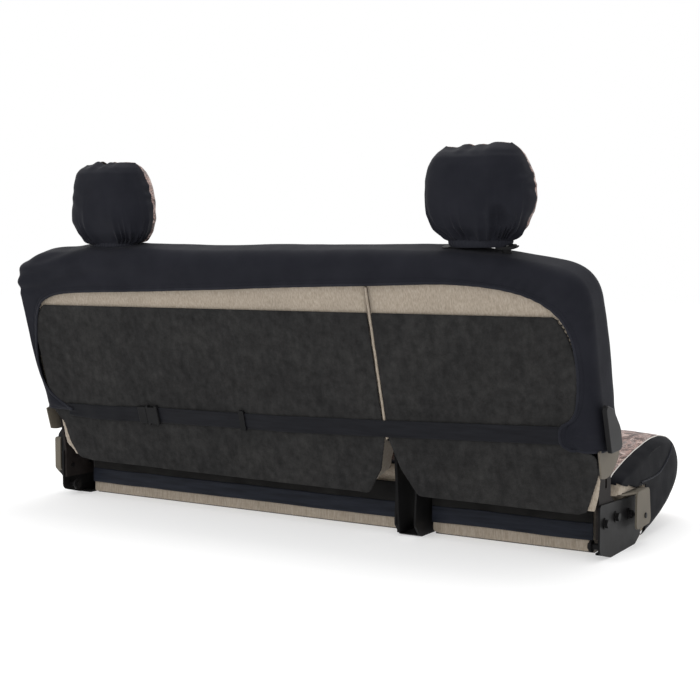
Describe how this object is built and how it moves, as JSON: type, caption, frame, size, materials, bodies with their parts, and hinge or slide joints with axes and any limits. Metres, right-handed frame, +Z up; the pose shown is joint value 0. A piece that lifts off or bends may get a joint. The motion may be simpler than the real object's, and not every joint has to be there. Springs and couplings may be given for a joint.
{
  "type": "split bench seat with fitted cover set",
  "caption": "Folding split bench seat seen from behind, wearing a stretch backrest cover with a rear strap, cushion covers and gathered headrest covers.",
  "frame": {"origin": "centre of the footprint of the whole seat, on the floor plane", "axes": "+Z up, the seat faces -Y, its left side is +X"},
  "size_m": [1.432, 0.7139, 0.7862],
  "materials": {
    "foam": "open-cell foam",
    "beige_cloth": "fine vertical weave",
    "carpet": "short needle-punched pile",
    "black_cloth": "stretch knit with a soft sheen",
    "hem_elastic": "stitched elastic channel",
    "printed_cloth": "matte print of bark and leaves",
    "satin_band": "satin webbing",
    "felt": "coarse felt",
    "black_plastic": "satin moulded",
    "beige_plastic": "fine grained",
    "black_steel": "semi-gloss",
    "grey_steel": "satin",
    "bright_steel": "zinc plated"
  },
  "bodies": {
    "seat_base": {"cushion_cover_skirt_left": "black_cloth", "cushion_cover_skirt_right": "black_cloth", "cushion_cover_top_left": "printed_cloth", "cushion_cover_top_right": "printed_cloth", "cushion_foam_left": "foam", "cushion_foam_right": "foam", "cushion_hem_bands": "satin_band", "cushion_pan_left": "grey_steel", "cushion_pan_right": "grey_steel", "cushion_rear_flaps": "felt", "cushion_upholstery_left": "beige_cloth", "cushion_upholstery_right": "beige_cloth", "shield_carrier": "black_plastic", "shield_insert": "beige_plastic", "side_bracket_left": "black_steel", "side_bracket_right": "black_steel", "centre_bracket": "black_steel", "bracket_cap": "beige_plastic", "base_fasteners": "bright_steel", "floor_latches": "bright_steel", "hinge_pins": "bright_steel", "recliner_lower_arms": "black_steel"},
    "backrest_left": {"back_frame_left": "grey_steel", "back_foam_left": "foam", "back_upholstery_left": "beige_cloth", "back_carpet_left": "carpet", "back_hinge_plates_left": "black_steel", "guide_sleeves_left": "black_plastic", "recliner_trim_left": "beige_plastic", "back_cover_wrap": "black_cloth", "back_cover_front": "printed_cloth", "back_cover_hem": "hem_elastic", "strap_webbing_left": "satin_band", "strap_webbing_right": "satin_band", "buckle_plug": "black_plastic", "buckle_socket": "black_plastic"},
    "backrest_right": {"back_frame_right": "grey_steel", "back_foam_right": "foam", "back_upholstery_right": "beige_cloth", "back_carpet_right": "carpet", "back_hinge_plates_right": "black_steel", "guide_sleeves_right": "black_plastic", "recliner_trim_right": "beige_plastic", "split_piping": "beige_cloth"},
    "lever_left": {"recliner_lever_left": "black_plastic"},
    "lever_right": {"recliner_lever_right": "black_plastic"},
    "button_left": {"guide_button_left": "black_plastic"},
    "button_right": {"guide_button_right": "black_plastic"},
    "slider": {"strap_slider": "black_plastic"},
    "headrest_left": {"headrest_foam_left": "foam", "headrest_posts_left": "bright_steel", "headrest_cover_front_left": "printed_cloth", "headrest_cover_rear_left": "black_cloth", "headrest_elastic_left": "hem_elastic"},
    "headrest_right": {"headrest_foam_right": "foam", "headrest_posts_right": "bright_steel", "headrest_cover_front_right": "printed_cloth", "headrest_cover_rear_right": "black_cloth", "headrest_elastic_right": "hem_elastic"}
  },
  "joints": [
    {"name": "backrest_left_fold", "type": "hinge", "parent": "seat_base", "child": "backrest_left", "pos_m": [0.2, 0.17984, 0.22265], "axis": [1, 0, 0], "range_deg": [0, 95]},
    {"name": "backrest_right_fold", "type": "hinge", "parent": "seat_base", "child": "backrest_right", "pos_m": [-0.46, 0.17984, 0.22265], "axis": [1, 0, 0], "range_deg": [0, 95]},
    {"name": "headrest_left_height", "type": "slide", "parent": "backrest_left", "child": "headrest_left", "axis": [0, 0.2723, 0.9622], "range_m": [0, 0.06]},
    {"name": "headrest_right_height", "type": "slide", "parent": "backrest_right", "child": "headrest_right", "axis": [0, 0.2723, 0.9622], "range_m": [0, 0.06]},
    {"name": "recliner_lever_left_pull", "type": "hinge", "parent": "backrest_left", "child": "lever_left", "pos_m": [0.708, 0.17984, 0.22265], "axis": [1, 0, 0], "range_deg": [-22, 0], "stiffness_Nm_per_rad": 2, "springref_deg": 5.73},
    {"name": "recliner_lever_right_pull", "type": "hinge", "parent": "backrest_right", "child": "lever_right", "pos_m": [-0.708, 0.17984, 0.22265], "axis": [1, 0, 0], "range_deg": [-22, 0], "stiffness_Nm_per_rad": 2, "springref_deg": 5.73},
    {"name": "guide_button_left_press", "type": "slide", "parent": "backrest_left", "child": "button_left", "axis": [-1, 0, 0], "range_m": [0, 0.003], "stiffness_N_per_m": 400, "springref_m": -0.001},
    {"name": "guide_button_right_press", "type": "slide", "parent": "backrest_right", "child": "button_right", "axis": [1, 0, 0], "range_m": [0, 0.003], "stiffness_N_per_m": 400, "springref_m": -0.001},
    {"name": "strap_slider_slide", "type": "slide", "parent": "backrest_left", "child": "slider", "axis": [0.9999, -0.0036, -0.0128], "range_m": [-0.04, 0.04]}
  ],
  "couplings": [
    {"joint": "backrest_right_fold", "follows": "backrest_left_fold", "ratio": 1}
  ]
}
